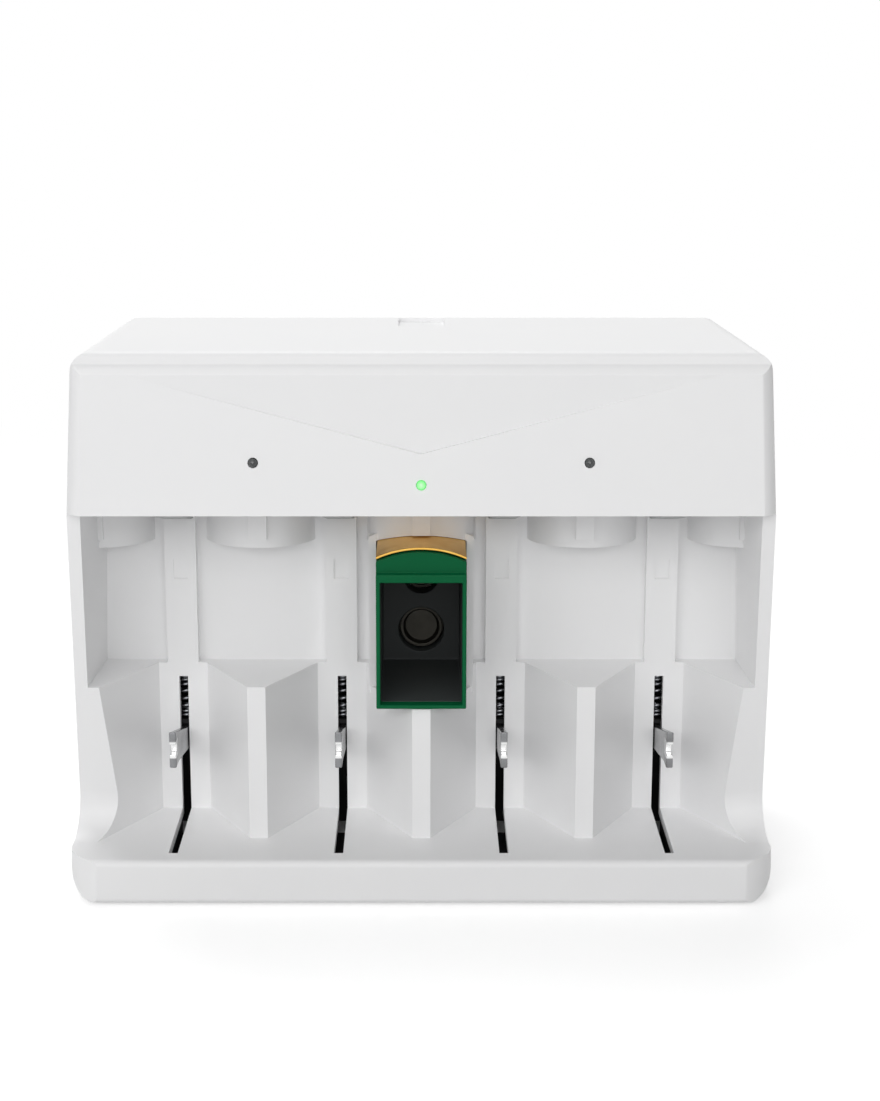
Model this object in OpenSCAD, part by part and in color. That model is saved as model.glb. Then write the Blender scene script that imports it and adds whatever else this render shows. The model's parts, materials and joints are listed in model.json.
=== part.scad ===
// Universal battery charger that stands upright: four V-shaped bays with sprung sliding contacts
// for small to large round cells, and a slide-in holder for a nine volt block in the middle.
// Lengths are in millimetres. x runs across, y from the front of the lip to the back, z up from the table.

/* [Bays] */
// Distance between the centres of neighbouring bays
bay_pitch = 36; // [35:0.5:38]
// Width of the flat floor at the bottom of each bay
floor_w = 11; // [10:0.5:13]
// Depth of the bay floor behind the front of the lip
floor_y = 33; // [32:0.5:35]
// Depth of the ridge tops behind the front of the lip
ridge_y = 14; // [12:0.5:17]
// Width of the flat on top of each ridge
ridge_flat = 4; // [3:0.5:6]
// Height of the top of the ridged block
block_top = 45.4; // [44.4:0.2:47]
// Set-back of the panel behind the bay floor
panel_step = 2.6; // [2.2:0.2:5]
// Width of the rail that runs up the panel in each bay
rail_w = 7; // [6:0.5:8]

/* [Housing] */
// Depth of the housing from the lip to the back
depth = 70; // [69:0.5:80]
// Height of the housing above the table
height = 119.5; // [115:0.5:127]
// Height of the underside of the head
head_z = 86; // [85:0.5:90]
// Height of the ledge under the cells
ledge_z = 10.5; // [9.5:0.5:11.5]
// Thickness of the cheeks beside the bays, at the head
cheek_wall = 2.8; // [2.4:0.2:4]
// Thickness of the other housing walls
wall = 2.2; // [1.8:0.1:2.4]
// Distance of the head's lower edge behind the front of the lip
face_y = 3; // [2:0.5:4]
// Angle at which the face of the head leans back
face_lean = 8; // [5:0.5:10]
// Depth of the cheeks' front edge below the head
cheek_top_y = 6.4; // [5.5:0.2:8]
// Depth of the cheeks' front edge at the ledge
cheek_low_y = 19.9; // [18:0.5:22]
// How far each side draws in from the front to the back
rear_taper = 3.4; // [2.4:0.2:5]
// How far each side draws in from the base to the top
side_taper = 3.8; // [3:0.2:5]
// Depth of the joint between front shell and rear cover
joint_y = 48; // [47:0.5:50]

/* [Rounding] */
// Radius of the lower corners in the front view
foot_r = 7; // [5:0.5:9]
// Radius of the upper corners in the front view
crown_r = 5; // [4:0.5:7]
// Height of the band that runs along the top of the face
brow_h = 4.5; // [4:0.1:5.5]
// How far that band is set back from the face
brow_step = 1.9; // [1.4:0.1:2.2]
// Radius of the band's upper edge
brow_r = 1.5; // [1:0.1:2]
// Radius of the rear edges
rear_r = 4; // [3:0.5:5]
// Radius of the upright front edges of the head
edge_r = 5; // [3:0.5:6]
// Radius of the lip's corners, seen from above
lip_corner_r = 11; // [8:0.5:12]
// Radius of the flare where the cheeks run out onto the ledge
flare_r = 8; // [6:0.5:10]

/* [Contact slides] */
// Width of the slots
slot_w = 2; // [1.9:0.1:2.4]
// Thickness of the sheet-metal blades
blade_t = 1.5; // [1.2:0.1:1.5]
// Depth of the blade's tip behind the front of the lip
tip_y = 9.5; // [9:0.5:12]
// Height of the upper corner of the blade's tip
tip_top = 36.6; // [35.6:0.2:37.4]
// Height of the blade's tip
tip_h = 8.2; // [7:0.2:8.2]
// Travel of the slides
slide_travel = 20; // [18:0.5:20.2]
// Outer diameter of the slide springs
spring_d = 4.4; // [4:0.2:5]
// Wire diameter of the slide springs
spring_wire = 0.7; // [0.5:0.1:0.8]

/* [Nine volt holder] */
// Width of the opening
nine_w = 17.8; // [17.6:0.1:18.4]
// Height of the opening
nine_h = 27.4; // [27:0.1:27.8]
// Thickness of the holder's wall
nine_wall = 0.9; // [0.8:0.1:1.2]
// Height of the holder's lower side above the table
nine_z = 40.7; // [40.2:0.1:41.2]
// Depth of the holder's mouth behind the front of the lip
nine_y = 13; // [12:0.5:14]
// Length of the holder
nine_len = 40; // [38:0.5:40.4]
// Height of the hood above the opening, at its sides
hood_h = 4.3; // [3.6:0.1:5]
// Rise of the hood's arch in the middle
hood_rise = 2.2; // [1.8:0.2:2.6]
// Thickness of the brass leaf
leaf_t = 0.5; // [0.4:0.1:0.6]

/* [Lights and feet] */
// Diameter of the indicator lights
light_d = 2; // [1.6:0.2:3]
// Height of the pair of bay lights
light_z = 97; // [96:0.5:99]
// Height of the nine volt light
nine_light_z = 92.4; // [91.8:0.2:94]
// Distance of the bay lights from the middle
light_x = 35; // [33:0.5:38]
// Diameter of the rubber feet
foot_d = 10; // [8:0.5:12]
// Height of the rubber feet below the base
foot_h = 0.6; // [0.5:0.1:1.2]

/* [Hidden] */
$fn = 48;

// Clearances
slide_gap = 0.3;
seat_gap = 0.1;
fit_gap = 0.05;

// Reach of cutting shapes past what they cut
past = 5;
far = 300;

// Bays and ridges
bay_x = [for (i = [-1.5:1:1.5]) i * bay_pitch];
ridge_x = [for (i = [-1:1]) i * bay_pitch];
floor_half = floor_w / 2;
ridge_half = bay_pitch / 2 - floor_half;
flank_run = ridge_half - ridge_flat / 2;
flank_slope = flank_run / (floor_y - ridge_y);
floor_back = floor_y + wall;
panel_y = floor_y + panel_step;
panel_back = panel_y + wall;
slot_roof = 1;
slot_top = block_top - wall - slot_roof;
slot_front = 5;
slot_under = 0.5;

// Housing
base_z = foot_h;
base_in = base_z + wall;
rear_in = depth - wall;
top_in = height - wall;
head_in = head_z + wall;
taper_angle = atan(rear_taper / depth);
draft = side_taper / height;
draft_angle = atan(draft);
head_half = 2 * bay_pitch + cheek_wall;
bay_half = 2 * bay_pitch;
cavity_half = head_half - wall;
lean = tan(face_lean);
lip_r = 1.5;
brow_low = height - brow_h;
toe_r = 1.5;
edge_lead = 0.15;
corner_run = (foot_r - wall) * (2 - sqrt(2));

function side_x(z) = head_half + draft * (head_z - z);
function wall_x(y, z) = side_x(z) - rear_taper * y / depth - wall / 2;
function face_at(z) = face_y + lean * (z - head_z);

// Shallow V-shaped facet on the face
vee_share = 0.38;
vee_z = head_z + vee_share * (height - head_z);
vee_half = 62;
vee_depth = 1.3;
vee_top = brow_low;

// Rounded lobes and ribs under the head
notch_w = 11.6;
lobe_drop = 12.4;
lobe_z = head_z - lobe_drop;
lobe_out = 6.4;
lobe_y = floor_y - lobe_out;
lobe_w = bay_pitch - notch_w;
lobe_sag = panel_y - lobe_y;
lobe_r = (pow(lobe_w / 2, 2) + lobe_sag * lobe_sag) / (2 * lobe_sag);
rib_w = 4;
rib_out = 1.2;
rib_drop = 10.4;
rib_y = lobe_y - rib_out;
rib_z = head_z - rib_drop;
pocket_w = 3.2;
pocket_h = 4.5;
pocket_deep = 0.4;
pocket_drop = 4.1;
pocket_z = lobe_z - pocket_drop;

// Sloping plus contacts
strip_t = 0.5;
strip_side = 0.5;
strip_w = rail_w - 2 * strip_side;
strip_set = 3.5;
strip_drop = 0.8;
strip_lead = 1.2;
strip_fall = 7;
strip_tail = 2.5;
strip_front_y = face_y + strip_set;
strip_front_z = head_z - strip_drop;
strip_back_y = floor_y - strip_lead;
strip_back_z = head_z - strip_fall;
strip_end_y = panel_back + strip_tail;
strip_rise = (strip_front_z - strip_back_z) / (strip_back_y - strip_front_y);
strip_dz = strip_t * sqrt(1 + strip_rise * strip_rise);

// Slides, from the back of the bay floor inwards
guide_wall = 1.2;
guide_half = 4.6;
channel_half = guide_half - guide_wall;
guide_deep = 10.8;
guide_back_wall = 1.4;
guide_room = 0.2;
guide_back = floor_back + guide_deep;
channel_back = guide_back - guide_back_wall;
guide_top = block_top - wall - guide_room;
trough_wall = 1.4;
trough_front = 4;
carriage_half = channel_half - slide_gap;
carriage_front = floor_back + slide_gap;
carriage_back = channel_back - slide_gap;
carriage_rest = 1.2;
carriage_h = 7;
carriage_low = base_in + slide_travel + carriage_rest;
carriage_high = carriage_low + carriage_h;
root_floor = 0.8;
root_roof = 1;
root_wall = 2;
root_low = carriage_low + root_floor;
root_high = carriage_high - root_roof;
root_back = carriage_back - root_wall;
tip_low = tip_top - tip_h;
fork_h = 2.2;
fork_deep = 2.4;
spring_set = 0.6;
spring_y = floor_back + spring_d / 2 + spring_set;
spring_low = carriage_high + seat_gap;
spring_high = guide_top - guide_wall - seat_gap;
spring_turns = 8;
spring_steps = 10;
spring_sides = 6;

// Nine volt holder
nine_half = nine_w / 2 + nine_wall;
hole_low = nine_z + nine_wall;
hole_high = hole_low + nine_h;
hood_side = hole_high + hood_h;
hood_r = (nine_half * nine_half + hood_rise * hood_rise) / (2 * hood_rise);
hood_mid = hood_side + hood_rise - hood_r;
rim_h = 1.9;
rim_top = hole_high + rim_h;
rim_deep = 1.5;
frame_deep = 3;
frame_back = nine_y + frame_deep;
box_top = hole_high + nine_wall;
nine_back = nine_y + nine_len;
stop_t = 2;
stop_out = 1.2;
tunnel_wall = 1.6;
collar_out = 2;
collar_y = floor_y - collar_out;
tunnel_back = nine_back - stop_t - slide_gap;
leaf_in = hood_r + slide_gap;
leaf_out = leaf_in + leaf_t;
leaf_set = 1;
leaf_y = nine_y + rim_deep + leaf_set;
leaf_back = panel_back;
carrier_t = 5;
carrier_y = nine_back - carrier_t;
snap_spacing = 12.7;
snap_mid = (hole_low + hole_high) / 2;
snap_h = 2.4;
snap_foot = 0.5;
plus_foot_r = 3.9;
plus_neck_r = 2.6;
plus_neck_h = 1.1;
plus_head_r = 2.9;
plus_top_r = 2.5;
plus_shoulder = 0.6;
minus_foot_r = 5.2;
minus_cup_r = 4.6;
minus_rim_r = 4.9;
minus_rim_in = 4.2;
minus_floor_r = 3.7;
minus_floor_h = 0.8;

// Board in the head and what it carries
board_y = 20;
board_t = 1.6;
board_back = board_y + board_t;
board_half = 62;
board_under = 1.8;
board_over = 2.8;
board_low = head_in + board_under;
board_high = top_in - board_over;
board_h = board_high - board_low;
board_mid = (board_low + board_high) / 2;
boss_x = 52;
boss_share = 0.3;
boss_dz = boss_share * board_h;
boss_d = 6;
pilot_d = 2.1;
board_hole_d = 2.6;
pilot_deep = 9;
board_screw_len = 7;
board_head_r = 2.2;
board_head_h = 1.6;
boss_zs = [board_mid - boss_dz, board_mid + boss_dz];
chip_x = -6;
chip_w = 16;
chip_h = 6;
chip_t = 3.4;
bulk_x = -36;
bulk_share = 0.52;
bulk_d = bulk_share * board_h;
bulk_len = 20;
output_x = 10;
output_pitch = 9;
output_share = 0.26;
output_z = board_mid + output_share * board_h;
output_d = 6.3;
output_len = 11;
fuse_x = 16;
fuse_rise = 3;
fuse_share = 0.3;
fuse_y = board_back + fuse_rise;
fuse_z = board_mid - fuse_share * board_h;
fuse_d = 5;
fuse_len = 20;
fuse_cap_d = 5.6;
fuse_cap_len = 5;
fuse_lead = 0.8;
fuse_lead_out = 1.5;

// Lights between the board and the face
light_out = 0.7;
light_flange = 0.6;
light_flange_t = 1;

// Transformer on the base of the rear cover
core_x = -37;
core_w = 38;
core_h = 32;
core_leg = 6;
coil_gap = 0.4;
core_share = 0.52;
coil_t = rear_in - joint_y - 2 * coil_gap;
core_t = core_share * coil_t;
core_y = (joint_y + rear_in) / 2;

// Mains inlet in the rear cover
inlet_x = 40;
inlet_rise = 13;
inlet_z = base_z + inlet_rise;
inlet_w = 20.4;
inlet_h = 13.4;
inlet_front = 4;
inlet_len = depth - joint_y - inlet_front;
inlet_rim = 2.4;
inlet_rim_t = 2;
socket_r = 4;
socket_waist = 2.8;
socket_pitch = 8.6;
socket_floor = 6;
socket_deep = inlet_len - socket_floor;
pin_d = 2.4;
pin_set = 2;
pin_len = socket_deep - pin_set;
pin_tail = 2;

// Screws that hold the rear cover
post_inset = 9;
post_rise = 11;
post_share = 0.57;
post_x = 2 * bay_pitch - post_inset;
post_low = base_z + post_rise;
post_high = head_in + post_share * (top_in - head_in);
post_d = 7;
post_len = 12;
post_front = joint_y - post_len;
post_pilot = 2.6;
post_floor = 2;
post_zs = [post_low, post_high];
screw_d = 2.4;
screw_hole = 3.4;
screw_head = 6;
screw_head_h = 2.4;
screw_deep = 6;
screw_seat = depth - screw_deep;
screw_hold = 9;
screw_len = screw_seat - joint_y + screw_hold;

// Vents, rest recess on top and feet
vent_w = 2;
vent_h = 24;
vent_pitch = 5;
vent_first = 26;
vent_count = 6;
vent_drop = 18;
vent_z = head_z - vent_drop;
vent_xs = [for (s = [-1, 1]) for (i = [0:vent_count - 1]) s * (vent_first + i * vent_pitch)];
rest_w = 10.5;
rest_len = 14;
rest_deep = 1;
foot_seat = 1.3;
foot_x = 60;
foot_inset = 11;
foot_xs = [-foot_x, foot_x];
foot_front_y = foot_inset;
foot_rear_y = depth - foot_inset;

// Shared shapes
module in_frame() {
    translate([0, -depth / 2, 0]) children();
}

// Carries an outline in x and z along y
module along_y(y0, y1) {
    translate([0, y1, 0]) rotate([90, 0, 0]) linear_extrude(y1 - y0) children();
}

// Carries an outline in y and z along x
module along_x(x0, x1) {
    translate([x0, 0, 0]) rotate([90, 0, 90]) linear_extrude(x1 - x0) children();
}

module box(low, high) {
    translate(low) cube(high - low);
}

module rod_y(x, z, y0, y1, d) {
    translate([x, y1, z]) rotate([90, 0, 0]) cylinder(d = d, h = y1 - y0);
}

module rod_x(x0, x1, y, z, d) {
    translate([x0, y, z]) rotate([0, 90, 0]) cylinder(d = d, h = x1 - x0);
}

module both_sides() {
    children();
    mirror([1, 0, 0]) children();
}

// Everything left of a right-hand side that closes in towards the back
module right_bound(half) {
    translate([half, 0, head_z]) rotate([0, -draft_angle, taper_angle])
        translate([-far, -past, -far]) cube([far, far, 2 * far]);
}

module between_sides(half) {
    intersection() {
        right_bound(half);
        mirror([1, 0, 0]) right_bound(half);
    }
}

// Right-hand half of the front view, with its rounded corners
module right_outline() {
    low_z = base_z + foot_r;
    low_x = side_x(low_z) - foot_r / cos(draft_angle);
    high_z = height - crown_r;
    high_x = side_x(high_z) - crown_r / cos(draft_angle);
    polygon([
        [-far, base_z],
        [low_x, base_z],
        [low_x + foot_r * cos(draft_angle), low_z + foot_r * sin(draft_angle)],
        [high_x + crown_r * cos(draft_angle), high_z + crown_r * sin(draft_angle)],
        [high_x, height],
        [-far, height]
    ]);
    translate([low_x, low_z]) circle(foot_r);
    translate([high_x, high_z]) circle(crown_r);
}

module right_half_space() {
    translate([head_half, 0, 0]) rotate([0, 0, taper_angle]) translate([-head_half, 0, 0])
        along_y(-2 * past, depth + 2 * past) right_outline();
}

// Side view: foot, cheeks and head
module side_outline() {
    brow_z = height - brow_r;
    brow_y = face_at(brow_z) + brow_step + brow_r / cos(face_lean);
    polygon([
        [face_y, head_z],
        [face_at(brow_low), brow_low],
        [face_at(brow_low + brow_step) + brow_step, brow_low + brow_step],
        [brow_y - brow_r * cos(face_lean), brow_z + brow_r * sin(face_lean)],
        [brow_y, height],
        [depth - rear_r, height],
        [depth, height - rear_r],
        [depth, base_z + rear_r],
        [depth - rear_r, base_z],
        [toe_r, base_z],
        [0, base_z + toe_r],
        [0, ledge_z - lip_r],
        [lip_r, ledge_z],
        [cheek_low_y, ledge_z],
        [cheek_top_y, head_z]
    ]);
    translate([brow_y, brow_z]) circle(brow_r);
    translate([depth - rear_r, height - rear_r]) circle(rear_r);
    translate([depth - rear_r, base_z + rear_r]) circle(rear_r);
    translate([toe_r, base_z + toe_r]) circle(toe_r);
    translate([lip_r, ledge_z - lip_r]) circle(lip_r);
    cheek_flare();
}

// Concave run-out between the cheeks' front edge and the ledge
module cheek_flare() {
    edge = atan((cheek_low_y - cheek_top_y) / (head_z - ledge_z));
    reach = flare_r / tan((90 - edge) / 2);
    difference() {
        polygon([
            [cheek_low_y, ledge_z],
            [cheek_low_y - reach, ledge_z],
            [cheek_low_y - reach * sin(edge), ledge_z + reach * cos(edge)]
        ]);
        translate([cheek_low_y - reach, ledge_z + flare_r]) circle(flare_r);
    }
}

// Rounds an upright front edge of the right-hand side, from y, z along the edge, inset from both faces
module edge_cut(inset, y, z, length, lean_angle, r) {
    lead = edge_lead - inset;
    translate([side_x(z) - rear_taper * y / depth + lead, y - lead, z])
        rotate([-lean_angle, -draft_angle, taper_angle]) linear_extrude(length) difference() {
            translate([-r, -past]) square([r + past, r + past]);
            translate([-r, r]) circle(r);
        }
}

// The closed outer form of the whole housing
module outer_form() {
    difference() {
        intersection() {
            right_half_space();
            mirror([1, 0, 0]) right_half_space();
            along_x(-far, far) side_outline();
        }
        both_sides() edge_cut(0, face_y, head_z, height, face_lean, edge_r);
        both_sides() edge_cut(0, 0, 0, ledge_z + lip_r, 0, lip_corner_r);
    }
}

// The hollow inside, in the side view
module cavity_outline() {
    polygon([
        [wall, base_in],
        [wall, ledge_z - wall],
        [floor_back, ledge_z - wall],
        [floor_back, block_top - wall],
        [panel_back, block_top - wall],
        [panel_back, head_in],
        [face_at(head_in) + wall, head_in],
        [face_at(brow_low) + wall, brow_low],
        [face_at(top_in) + brow_step + wall, top_in],
        [rear_in, top_in],
        [rear_in, base_in]
    ]);
}

// Slope along the hollow's lower right corner, which follows the rounding outside
module corner_fill() {
    translate([side_x(base_in) - wall, 0, base_in]) rotate([0, 0, taper_angle])
        along_y(-past, depth + past)
            polygon([[-corner_run - past, -past], [past, -past], [past, corner_run + past]]);
}

module cavity() {
    difference() {
        intersection() {
            along_x(-far, far) cavity_outline();
            between_sides(cavity_half);
        }
        both_sides() edge_cut(wall, 0, 0, ledge_z, 0, lip_corner_r - wall);
        both_sides() corner_fill();
    }
}

// Plan of the space in front of bay floors and ridges
module bay_plan() {
    end_x = 1.5 * bay_pitch + floor_half + flank_slope * (floor_y + past);
    polygon(concat(
        [[-end_x, -past]],
        [for (i = [0:3]) each concat(
            [[bay_x[i] - floor_half, floor_y], [bay_x[i] + floor_half, floor_y]],
            i < 3 ? [[ridge_x[i] - ridge_flat / 2, ridge_y], [ridge_x[i] + ridge_flat / 2, ridge_y]] : []
        )],
        [[end_x, -past]]
    ));
}

// Full block from which the ridges between the bays are cut
module ridge_block() {
    box([bay_x[0], ridge_y, ledge_z - wall / 2], [bay_x[3], floor_y + wall / 2, block_top]);
}

module bay_space() {
    intersection() {
        between_sides(bay_half);
        union() {
            translate([0, 0, ledge_z]) linear_extrude(block_top - ledge_z + fit_gap) bay_plan();
            box([-far, -past, block_top], [far, panel_y, head_z]);
        }
    }
}

// Hollow inside the ridge at x, up to height z
module ridge_hollow(x, z) {
    inset = wall * sqrt(1 + flank_slope * flank_slope);
    tip = ridge_y + wall;
    tip_half = ridge_flat / 2 + flank_slope * wall - inset;
    back_half = ridge_half + flank_slope * wall - inset;
    translate([x, 0, base_in]) linear_extrude(z - base_in) polygon([
        [-tip_half, tip], [tip_half, tip],
        [back_half, floor_back + fit_gap], [-back_half, floor_back + fit_gap]
    ]);
}

// Rounded lobe on the panel, centred on a ridge line
module lobe(x) {
    translate([x, 0, lobe_z]) linear_extrude(head_z - lobe_z + fit_gap) intersection() {
        translate([-lobe_w / 2, lobe_y - past]) square([lobe_w, lobe_sag + past + fit_gap]);
        translate([0, lobe_y + lobe_r]) circle(lobe_r, $fn = 200);
    }
}

module lobes() {
    for (x = concat([-2 * bay_pitch], ridge_x, [2 * bay_pitch])) {
        lobe(x);
        low = x == 0 ? hood_side + hood_rise + leaf_t + 2 * slide_gap : rib_z;
        box([x - rib_w / 2, rib_y, low], [x + rib_w / 2, panel_y, head_z + fit_gap]);
    }
}

// Rail up the panel and the sloping web that backs the plus contact
module contact_rail(x) {
    difference() {
        union() {
            box(
                [x - rail_w / 2, floor_y, block_top - wall],
                [x + rail_w / 2, panel_y + fit_gap, head_z + fit_gap]
            );
            along_x(x - rail_w / 2, x + rail_w / 2) polygon([
                [strip_front_y, head_z + fit_gap],
                [strip_front_y, strip_front_z + strip_dz],
                [strip_back_y, strip_back_z + strip_dz],
                [floor_y + fit_gap, strip_back_z + strip_dz],
                [floor_y + fit_gap, head_z + fit_gap]
            ]);
        }
        box(
            [x - pocket_w / 2, floor_y - past, pocket_z - pocket_h],
            [x + pocket_w / 2, floor_y + pocket_deep, pocket_z]
        );
    }
}

// Slot for the contact strip's tail, through the rail and the panel
module strip_slot(x) {
    box(
        [x - strip_w / 2 - seat_gap, floor_y - past, strip_back_z - seat_gap],
        [x + strip_w / 2 + seat_gap, panel_back + past, strip_back_z + strip_dz]
    );
}

// Slot for a blade: up the bay floor and along the ledge
module blade_slot(x) {
    box(
        [x - slot_w / 2, floor_y - past, ledge_z - wall - past],
        [x + slot_w / 2, floor_back + past, slot_top]
    );
    box(
        [x - slot_w / 2, slot_front, ledge_z - wall - slot_under],
        [x + slot_w / 2, floor_back, ledge_z + past]
    );
}

// Front view of the nine volt holder, grown by grow at the sides and by rise at the arch
module holder_outline(grow, rise) {
    half = nine_half + grow;
    translate([-half, nine_z - grow]) square([2 * half, hood_side - nine_z + grow]);
    intersection() {
        translate([0, hood_mid]) circle(hood_r + rise, $fn = 96);
        translate([-half, hood_side - fit_gap]) square([2 * half, hood_rise + rise + 1]);
    }
}

// Collar in front of the panel and walls behind it, which carry the holder
module holder_tunnel() {
    along_y(collar_y, tunnel_back)
        holder_outline(slide_gap + tunnel_wall, leaf_out - hood_r + tunnel_wall);
}

module holder_way() {
    along_y(ridge_y - past, tunnel_back + past) holder_outline(slide_gap, leaf_out - hood_r + seat_gap);
    box([-ridge_half, ridge_y - past, nine_z - slide_gap], [ridge_half, collar_y, block_top + past]);
}

module vee_facet() {
    intersection() {
        along_y(-past, board_y) polygon([
            [0, vee_z], [vee_half, vee_top], [vee_half, height], [-vee_half, height], [-vee_half, vee_top]
        ]);
        along_x(-vee_half, vee_half) polygon([
            [-past, vee_z - past],
            [face_at(vee_z) + vee_depth, vee_z - past],
            [face_at(vee_z) + vee_depth, vee_z],
            [face_at(vee_top), vee_top],
            [-past, vee_top]
        ]);
    }
}

module light_holes() {
    for (x = [-light_x, light_x]) rod_y(x, light_z, -past, board_y, light_d + 2 * seat_gap);
    rod_y(0, nine_light_z, -past, board_y, light_d + 2 * seat_gap);
}

module board_bosses() {
    for (x = [-boss_x, boss_x]) for (z = boss_zs) difference() {
        rod_y(x, z, face_at(z) + wall / 2, board_y, boss_d);
        rod_y(x, z, board_y - pilot_deep, board_y + past, pilot_d);
    }
}

module cover_posts() {
    both_sides() for (z = post_zs) difference() {
        union() {
            rod_y(post_x, z, post_front, joint_y, post_d);
            box([post_x, post_front, z - wall / 2], [wall_x(joint_y, z), joint_y, z + wall / 2]);
        }
        rod_y(post_x, z, post_front + post_floor, joint_y + past, post_pilot);
    }
}

module foot_seats(y) {
    for (x = foot_xs) translate([x, y, base_z - past])
        cylinder(d = foot_d + 2 * fit_gap, h = past + foot_seat);
}

// Housing
module front_shell() {
    color("whitesmoke") in_frame() difference() {
        union() {
            difference() {
                union() {
                    intersection() {
                        outer_form();
                        box([-far, -past, -past], [far, joint_y, far]);
                    }
                    ridge_block();
                }
                bay_space();
                cavity();
                for (x = ridge_x) ridge_hollow(x, (x == 0 ? nine_z - slide_gap : block_top) - wall);
                vee_facet();
            }
            intersection() {
                union() {
                    lobes();
                    for (x = bay_x) contact_rail(x);
                }
                between_sides(bay_half + cheek_wall / 2);
            }
            holder_tunnel();
            board_bosses();
            cover_posts();
        }
        for (x = bay_x) {
            strip_slot(x);
            blade_slot(x);
        }
        holder_way();
        light_holes();
        foot_seats(foot_front_y);
    }
}

module rear_cover() {
    color("whitesmoke") in_frame() difference() {
        union() {
            difference() {
                intersection() {
                    outer_form();
                    box([-far, joint_y, -past], [far, far, far]);
                }
                cavity();
            }
            both_sides() for (z = post_zs)
                rod_y(post_x, z, joint_y, depth - wall / 2, post_d + wall);
        }
        both_sides() for (z = post_zs) {
            rod_y(post_x, z, joint_y - past, depth + past, screw_hole);
            rod_y(post_x, z, screw_seat, depth + past, screw_head + 2 * slide_gap);
        }
        for (x = vent_xs) box(
            [x - vent_w / 2, rear_in - past, vent_z],
            [x + vent_w / 2, depth + past, vent_z + vent_h]
        );
        box(
            [inlet_x - inlet_w / 2 - seat_gap, rear_in - past, inlet_z - inlet_h / 2 - seat_gap],
            [inlet_x + inlet_w / 2 + seat_gap, depth + past, inlet_z + inlet_h / 2 + seat_gap]
        );
        box(
            [-rest_w / 2, depth - rear_r - rest_len, height - rest_deep],
            [rest_w / 2, depth - rear_r, height + past]
        );
        foot_seats(foot_rear_y);
    }
}

// Nine volt holder
module nine_volt_sleeve() {
    color("seagreen") in_frame() difference() {
        union() {
            along_y(nine_y + rim_deep, nine_back) holder_outline(0, 0);
            box([-nine_half, nine_y, nine_z], [nine_half, nine_y + rim_deep + fit_gap, rim_top]);
        }
        box([-nine_w / 2, nine_y - past, hole_low], [nine_w / 2, frame_back + past, hole_high]);
        box([-nine_half - past, frame_back, nine_z - past], [nine_half + past, nine_back + past, box_top]);
    }
}

module nine_volt_leaf() {
    color("goldenrod") in_frame() along_y(leaf_y, leaf_back) intersection() {
        difference() {
            translate([0, hood_mid]) circle(leaf_out, $fn = 96);
            translate([0, hood_mid]) circle(leaf_in, $fn = 96);
        }
        translate([-nine_half, hood_side - hood_rise]) square([2 * nine_half, 4 * hood_rise]);
    }
}

module snap_carrier() {
    color("dimgray") in_frame() difference() {
        union() {
            box([-nine_half, frame_back + fit_gap, nine_z], [nine_half, nine_back, box_top - fit_gap]);
            box(
                [-nine_half - stop_out, nine_back - stop_t, nine_z],
                [nine_half + stop_out, nine_back, box_top - fit_gap]
            );
        }
        box([-nine_w / 2, frame_back - past, hole_low], [nine_w / 2, carrier_y, hole_high]);
        rod_y(0, snap_mid + snap_spacing / 2, frame_back, nine_back + past, 2 * (plus_foot_r + fit_gap));
        rod_y(0, snap_mid - snap_spacing / 2, frame_back, nine_back + past, 2 * (minus_foot_r + fit_gap));
    }
}

module snap_stud(z, profile) {
    in_frame() translate([0, nine_back, z]) rotate([90, 0, 0]) rotate_extrude() polygon(profile);
}

module snap_plus() {
    color("goldenrod") snap_stud(snap_mid + snap_spacing / 2, [
        [0, 0],
        [plus_foot_r, 0],
        [plus_foot_r, snap_foot],
        [plus_neck_r, snap_foot],
        [plus_neck_r, plus_neck_h],
        [plus_head_r, snap_h - plus_shoulder],
        [plus_top_r, snap_h],
        [0, snap_h]
    ]);
}

module snap_minus() {
    color("goldenrod") snap_stud(snap_mid - snap_spacing / 2, [
        [0, 0],
        [minus_foot_r, 0],
        [minus_foot_r, snap_foot],
        [minus_cup_r, snap_foot],
        [minus_rim_r, snap_h],
        [minus_rim_in, snap_h],
        [minus_floor_r, minus_floor_h],
        [0, minus_floor_h]
    ]);
}

// Plus contacts
module plus_contact(i) {
    color("silver") in_frame() along_x(bay_x[i] - strip_w / 2, bay_x[i] + strip_w / 2) polygon([
        [strip_front_y, strip_front_z],
        [strip_back_y, strip_back_z],
        [strip_end_y, strip_back_z],
        [strip_end_y, strip_back_z + strip_dz],
        [strip_back_y, strip_back_z + strip_dz],
        [strip_front_y, strip_front_z + strip_dz]
    ]);
}

// Contact slides
module guide(i) {
    color("dimgray") in_frame() translate([bay_x[i], 0, 0]) difference() {
        union() {
            box([-guide_half, floor_back, base_in], [guide_half, guide_back, guide_top]);
            box([-guide_half, trough_front, base_in], [guide_half, floor_back + fit_gap, ledge_z - wall]);
        }
        box(
            [-channel_half, floor_back - past, ledge_z - wall],
            [channel_half, channel_back, guide_top - guide_wall]
        );
        box([-channel_half, floor_back, base_in - past], [channel_half, channel_back, ledge_z]);
        box(
            [-trough_wall, trough_front + trough_wall, base_in + trough_wall / 2],
            [trough_wall, floor_back + past, ledge_z]
        );
    }
}

module carriage(i) {
    color("black") in_frame() translate([bay_x[i], 0, 0]) difference() {
        box([-carriage_half, carriage_front, carriage_low], [carriage_half, carriage_back, carriage_high]);
        box(
            [-blade_t / 2 - fit_gap, floor_back - past, root_low - fit_gap],
            [blade_t / 2 + fit_gap, root_back + fit_gap, root_high + fit_gap]
        );
    }
}

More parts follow.
